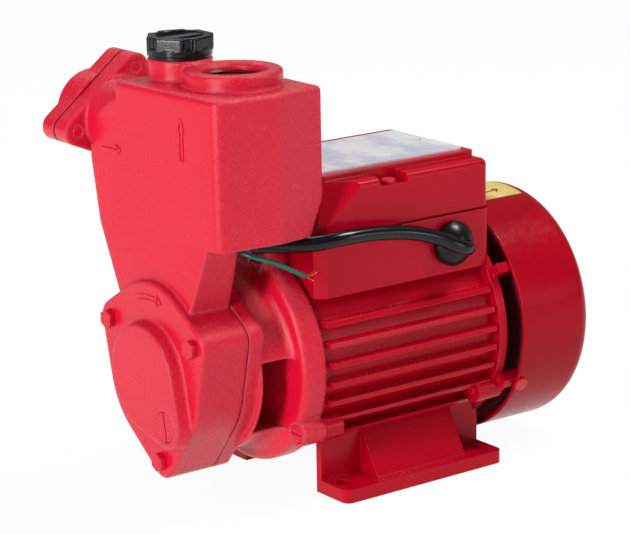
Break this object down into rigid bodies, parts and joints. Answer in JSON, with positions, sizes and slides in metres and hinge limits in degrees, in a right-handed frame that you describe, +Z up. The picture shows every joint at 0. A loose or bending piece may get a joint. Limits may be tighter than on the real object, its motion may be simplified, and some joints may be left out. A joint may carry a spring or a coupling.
{
  "type": "centrifugal water pump",
  "caption": "Self-priming electric water pump: cast pump end with a water chamber, lantern bracket and finned motor with terminal box and fan cover on a cast foot.",
  "frame": {"origin": "centre of the rectangle of foot holes, on the plane the foot stands on", "axes": "+X along the shaft from the pump to the fan, +Z up, +Y towards the suction port"},
  "size_m": [0.2348, 0.1425, 0.223],
  "materials": {
    "casing_paint": "cast texture under gloss enamel",
    "motor_paint": "gloss enamel",
    "box_paint": "gloss enamel",
    "cover_paint": "gloss enamel",
    "painted_bolt": "worn enamel over zinc",
    "bare_plate": "satin",
    "black_plastic": "satin",
    "fan_plastic": "satin",
    "black_rubber": "matte",
    "cable_jacket": "satin",
    "core_green": "satin",
    "core_brown": "satin",
    "core_blue": "satin",
    "gasket_paint": "sheet rubber painted over at its edge",
    "brass": "cast and turned",
    "steel": "ground",
    "lamination": "stacked sheet",
    "copper_winding": "varnished wire",
    "ceramic": "lapped",
    "capacitor_case": "smooth"
  },
  "bodies": {
    "root": {"bracket_screw_1": "painted_bolt", "bracket_screw_2": "painted_bolt", "bracket_screw_3": "painted_bolt", "bracket_screw_4": "painted_bolt", "cable_core_blue": "core_blue", "cable_core_brown": "core_brown", "cable_core_green": "core_green", "cable_gland": "black_rubber", "cable_sheath": "cable_jacket", "capacitor": "capacitor_case", "casing_bolt_1": "painted_bolt", "casing_bolt_2": "painted_bolt", "casing_bolt_3": "painted_bolt", "casing_gasket": "gasket_paint", "cover_screw_1": "painted_bolt", "cover_screw_2": "painted_bolt", "cover_screw_3": "painted_bolt", "fan_cover": "cover_paint", "flange_screw_1": "painted_bolt", "flange_screw_2": "painted_bolt", "flange_screw_3": "painted_bolt", "front_bearing": "steel", "lid_gasket": "gasket_paint", "lid_screw_1": "painted_bolt", "lid_screw_2": "painted_bolt", "motor_foot": "motor_paint", "motor_frame": "motor_paint", "nameplate": "bare_plate", "pump_bracket": "casing_paint", "pump_casing": "casing_paint", "rear_bearing": "steel", "rear_end_shield": "motor_paint", "seal_seat": "ceramic", "shield_screw_1": "painted_bolt", "shield_screw_2": "painted_bolt", "shield_screw_3": "painted_bolt", "shield_screw_4": "painted_bolt", "stator_core": "lamination", "suction_flange": "casing_paint", "suction_gasket": "gasket_paint", "terminal_block": "fan_plastic", "terminal_box": "box_paint", "terminal_box_lid": "box_paint", "winding_front": "copper_winding", "winding_rear": "copper_winding"},
    "rotor": {"motor_shaft": "steel", "impeller": "brass", "seal_rotor": "black_rubber", "slinger": "black_rubber", "rotor_core": "lamination", "cooling_fan": "fan_plastic"},
    "priming_seal": {"priming_gasket": "black_rubber"},
    "priming_plug": {"priming_plug": "black_plastic"},
    "drain_seal": {"drain_washer": "black_rubber"},
    "drain_plug": {"drain_plug": "painted_bolt"},
    "check_flap": {"check_flap": "black_rubber"}
  },
  "joints": [
    {"name": "rotor_spin", "type": "hinge", "parent": "root", "child": "rotor", "pos_m": [0, 0, 0.066], "axis": [1, 0, 0], "continuous": true},
    {"name": "priming_plug_lift", "type": "slide", "parent": "root", "child": "priming_seal", "axis": [0, 0, 1], "range_m": [0, 0.012]},
    {"name": "priming_plug_turn", "type": "hinge", "parent": "priming_seal", "child": "priming_plug", "pos_m": [-0.089, 0.018, 0.214], "axis": [0, 0, 1], "range_deg": [0, 2340]},
    {"name": "drain_plug_draw", "type": "slide", "parent": "root", "child": "drain_seal", "axis": [-1, 0, 0], "range_m": [0, 0.0085]},
    {"name": "drain_plug_turn", "type": "hinge", "parent": "drain_seal", "child": "drain_plug", "pos_m": [-0.1245, -0.01909, 0.04691], "axis": [-1, 0, 0], "range_deg": [0, 2880]},
    {"name": "check_flap_swing", "type": "hinge", "parent": "root", "child": "check_flap", "pos_m": [-0.1005, 0.0629, 0.193], "axis": [-1, 0, 0], "range_deg": [0, 55]}
  ],
  "couplings": [
    {"joint": "priming_plug_lift", "follows": "priming_plug_turn", "m_per_rad": 0.00028871},
    {"joint": "drain_plug_draw", "follows": "drain_plug_turn", "m_per_rad": 0.00015915}
  ]
}
